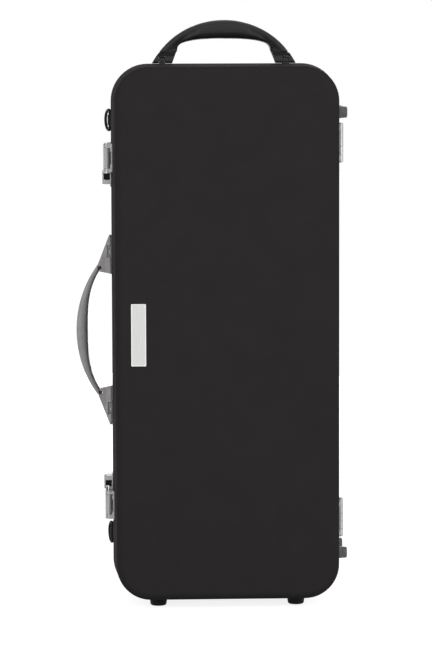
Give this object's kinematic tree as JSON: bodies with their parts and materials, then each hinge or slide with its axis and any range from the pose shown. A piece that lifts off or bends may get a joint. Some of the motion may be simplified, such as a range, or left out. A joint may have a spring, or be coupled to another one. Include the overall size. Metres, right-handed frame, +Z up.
{
  "type": "bassoon case",
  "caption": "Tall black hard case for a bassoon standing on end, with a hinged lid, side latches, side and top handles, strap rings and a padded insert.",
  "frame": {"origin": "middle of the bounding box in X and Y, at the soles of the bottom feet", "axes": "+Z up along the case as it stands on its short end, +X from the latch and side handle side to the hinge side, +Y from the lid to the back of the base"},
  "size_m": [0.3205, 0.1562, 0.694],
  "materials": {
    "case_shell": "black moulded shell, fine texture, matte",
    "rim_metal": "black painted rim profile",
    "seal_rubber": "black soft rubber seal",
    "plush": "dark blue plush",
    "tab_leather": "black leather tab",
    "badge_metal": "bare satin plate with a bright edge",
    "satin_steel": "satin nickelled steel",
    "spring_steel": "bare spring wire",
    "ear_grey": "grey painted steel",
    "dark_steel": "black painted steel",
    "button_steel": "satin thumb tab",
    "grip_graphite": "graphite moulded grip, soft sheen",
    "shoe_grey": "light grey moulded shoe",
    "grip_leather": "black leather-covered grip, two stitch lines",
    "cap_black": "black moulded end cap",
    "foot_rubber": "dark moulded rubber"
  },
  "bodies": {
    "base": {"base_shell": "case_shell", "base_rim": "rim_metal", "rim_seal": "seal_rubber", "insert_floor": "plush", "insert_frame": "plush", "insert_partitions": "plush", "insert_dividers": "plush", "insert_risers": "plush", "hinge_base_leaves": "satin_steel", "hinge_pins": "satin_steel", "base_rivets": "satin_steel", "latch_upper_case": "satin_steel", "latch_lower_case": "satin_steel", "latch_upper_spring": "spring_steel", "latch_lower_spring": "spring_steel", "side_ear_upper": "ear_grey", "side_ear_lower": "ear_grey", "side_handle_pins": "ear_grey", "top_ear_left": "dark_steel", "top_ear_right": "dark_steel", "top_handle_pins": "satin_steel", "d_ring_clips": "dark_steel", "base_bottom_feet": "foot_rubber", "base_side_feet": "foot_rubber", "base_foot_screws": "satin_steel"},
    "lid": {"lid_shell": "case_shell", "lid_rim": "rim_metal", "lid_lining": "plush", "badge_plate": "badge_metal", "hinge_lid_leaves": "satin_steel", "lid_rivets": "satin_steel", "latch_upper_bracket": "satin_steel", "latch_lower_bracket": "satin_steel", "latch_upper_pin": "satin_steel", "latch_lower_pin": "satin_steel", "lid_bottom_feet": "foot_rubber", "lid_side_feet": "foot_rubber", "lid_foot_screws": "satin_steel"},
    "upper_hasp": {"latch_upper_hasp": "satin_steel"},
    "lower_hasp": {"latch_lower_hasp": "satin_steel"},
    "upper_bolt": {"latch_upper_bolt": "dark_steel", "latch_upper_button": "button_steel"},
    "lower_bolt": {"latch_lower_bolt": "dark_steel", "latch_lower_button": "button_steel"},
    "side_handle": {"side_handle_grip": "grip_graphite", "side_shoe_upper": "shoe_grey", "side_shoe_lower": "shoe_grey"},
    "top_handle": {"top_handle_grip": "grip_leather", "top_cap_left": "cap_black", "top_cap_right": "cap_black"},
    "ring_upper_left": {"d_ring_upper_left": "dark_steel"},
    "ring_lower_left": {"d_ring_lower_left": "dark_steel"},
    "ring_upper_right": {"d_ring_upper_right": "dark_steel"},
    "ring_lower_right": {"d_ring_lower_right": "dark_steel"},
    "accessory_cover": {"accessory_lid": "plush", "accessory_tab": "tab_leather"}
  },
  "joints": [
    {"name": "lid_hinge", "type": "hinge", "parent": "base", "child": "lid", "pos_m": [0.156, -0.0049, 0.3251], "axis": [0, 0, 1], "range_deg": [0, 105]},
    {"name": "upper_hasp_hinge", "type": "hinge", "parent": "lid", "child": "upper_hasp", "pos_m": [-0.12244, -0.02267, 0.5231], "axis": [0, 0, 1], "range_deg": [0, 110]},
    {"name": "lower_hasp_hinge", "type": "hinge", "parent": "lid", "child": "lower_hasp", "pos_m": [-0.12244, -0.02267, 0.1271], "axis": [0, 0, 1], "range_deg": [0, 110]},
    {"name": "upper_bolt_slide", "type": "slide", "parent": "base", "child": "upper_bolt", "axis": [0, 0, -1], "range_m": [0, 0.0036], "stiffness_N_per_m": 250, "springref_m": -0.002, "deforming": ["latch_upper_spring"]},
    {"name": "lower_bolt_slide", "type": "slide", "parent": "base", "child": "lower_bolt", "axis": [0, 0, 1], "range_m": [0, 0.0036], "stiffness_N_per_m": 250, "springref_m": -0.002, "deforming": ["latch_lower_spring"]},
    {"name": "side_handle_turn", "type": "hinge", "parent": "base", "child": "side_handle", "pos_m": [-0.12022, 0.00826, 0.3251], "axis": [0, 0, 1], "range_deg": [-60, 60]},
    {"name": "top_handle_turn", "type": "hinge", "parent": "base", "child": "top_handle", "pos_m": [0.0175, 0.00835, 0.64711], "axis": [1, 0, 0], "range_deg": [-50, 50]},
    {"name": "ring_upper_left_turn", "type": "hinge", "parent": "base", "child": "ring_upper_left", "pos_m": [-0.11809, 0.03919, 0.5751], "axis": [0, 0, 1], "range_deg": [-20, 135]},
    {"name": "ring_lower_left_turn", "type": "hinge", "parent": "base", "child": "ring_lower_left", "pos_m": [-0.11809, 0.03919, 0.0751], "axis": [0, 0, 1], "range_deg": [-14, 140]},
    {"name": "ring_upper_right_turn", "type": "hinge", "parent": "base", "child": "ring_upper_right", "pos_m": [0.15309, 0.03919, 0.5751], "axis": [0, 0, -1], "range_deg": [-4, 105]},
    {"name": "ring_lower_right_turn", "type": "hinge", "parent": "base", "child": "ring_lower_right", "pos_m": [0.15309, 0.03919, 0.0751], "axis": [0, 0, -1], "range_deg": [-4, 105]},
    {"name": "accessory_cover_hinge", "type": "hinge", "parent": "base", "child": "accessory_cover", "pos_m": [0.0352, -0.0029, 0.4991], "axis": [0, 0, -1], "range_deg": [0, 100]}
  ]
}
